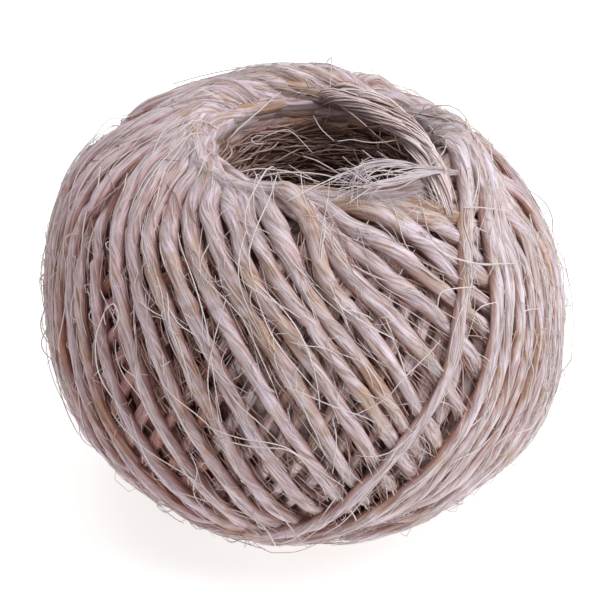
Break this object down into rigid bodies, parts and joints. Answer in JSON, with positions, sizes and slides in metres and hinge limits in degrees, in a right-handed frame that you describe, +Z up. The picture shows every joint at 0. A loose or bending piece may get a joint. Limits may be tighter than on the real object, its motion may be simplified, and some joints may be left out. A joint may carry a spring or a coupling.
{
  "type": "ball of sisal twine",
  "caption": "Squat ball of coarse natural-fibre twine, wound in slanting turns round an open spindle hole, to be drawn off and used as a tie.",
  "frame": {"origin": "under the middle of the ball's box, in the plane of the flat ring that it stands on", "axes": "+Z up along the spindle hole, +X towards the side that the upper mouth is pushed to, -Y towards the side where the last turn leaves the front"},
  "size_m": [0.0868, 0.086, 0.0677],
  "materials": {
    "sisal": "dry, matt, coarse plant fibre"
  },
  "bodies": {
    "root": {"twine_ball": "sisal"}
  },
  "joints": []
}
